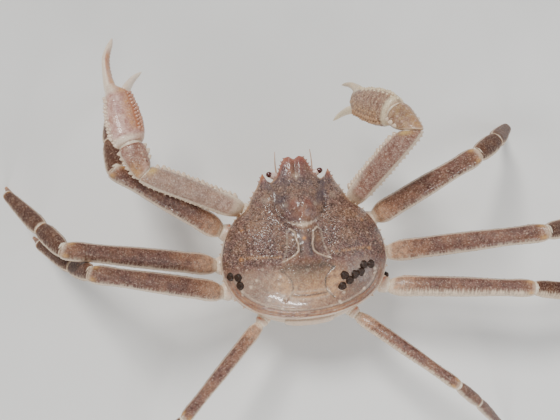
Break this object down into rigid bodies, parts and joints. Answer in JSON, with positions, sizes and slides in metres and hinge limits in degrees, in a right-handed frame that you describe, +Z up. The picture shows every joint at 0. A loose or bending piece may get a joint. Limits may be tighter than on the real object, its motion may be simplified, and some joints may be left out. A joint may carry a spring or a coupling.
{
  "type": "snow crab figure",
  "caption": "Life-size snow crab standing on bent walking legs, with both claws raised in front and a domed, granular shell.",
  "frame": {"origin": "on the floor, under the middle of the outline box of the whole crab", "axes": "+X to the crab's own right, along the span of its legs; +Y to its front; +Z up from the floor"},
  "size_m": [0.515, 0.3264, 0.14],
  "materials": {
    "shell_top": "wet, granular, mauve brown shell",
    "shell_leg": "wet, finely granular pinkish brown shell with cream edges",
    "shell_claw": "wet pinkish shell with pale fingers",
    "belly": "satin cream shell",
    "eye": "glossy dark red brown",
    "feeler": "satin pale brown"
  },
  "bodies": {
    "root": {"abdomen": "belly", "antenna_l": "feeler", "antenna_r": "feeler", "carapace": "shell_top", "claw_l_carpus": "shell_claw", "claw_l_coxa": "belly", "claw_l_dactyl": "shell_claw", "claw_l_merus": "shell_claw", "claw_l_palm": "shell_claw", "claw_r_carpus": "shell_claw", "claw_r_coxa": "belly", "claw_r_dactyl": "shell_claw", "claw_r_merus": "shell_claw", "claw_r_palm": "shell_claw", "eye_l": "eye", "eye_r": "eye", "leg_l1_carpus": "shell_leg", "leg_l1_coxa": "belly", "leg_l1_dactyl": "shell_leg", "leg_l1_merus": "shell_leg", "leg_l1_propodus": "shell_leg", "leg_l2_carpus": "shell_leg", "leg_l2_coxa": "belly", "leg_l2_dactyl": "shell_leg", "leg_l2_merus": "shell_leg", "leg_l2_propodus": "shell_leg", "leg_l3_carpus": "shell_leg", "leg_l3_coxa": "belly", "leg_l3_dactyl": "shell_leg", "leg_l3_merus": "shell_leg", "leg_l3_propodus": "shell_leg", "leg_l4_carpus": "shell_leg", "leg_l4_coxa": "belly", "leg_l4_dactyl": "shell_leg", "leg_l4_merus": "shell_leg", "leg_l4_propodus": "shell_leg", "leg_r1_carpus": "shell_leg", "leg_r1_coxa": "belly", "leg_r1_dactyl": "shell_leg", "leg_r1_merus": "shell_leg", "leg_r1_propodus": "shell_leg", "leg_r2_carpus": "shell_leg", "leg_r2_coxa": "belly", "leg_r2_dactyl": "shell_leg", "leg_r2_merus": "shell_leg", "leg_r2_propodus": "shell_leg", "leg_r3_carpus": "shell_leg", "leg_r3_coxa": "belly", "leg_r3_dactyl": "shell_leg", "leg_r3_merus": "shell_leg", "leg_r3_propodus": "shell_leg", "leg_r4_carpus": "shell_leg", "leg_r4_coxa": "belly", "leg_r4_dactyl": "shell_leg", "leg_r4_merus": "shell_leg", "leg_r4_propodus": "shell_leg", "maxilliped_l": "belly", "maxilliped_r": "belly", "thorax": "belly"}
  },
  "joints": []
}
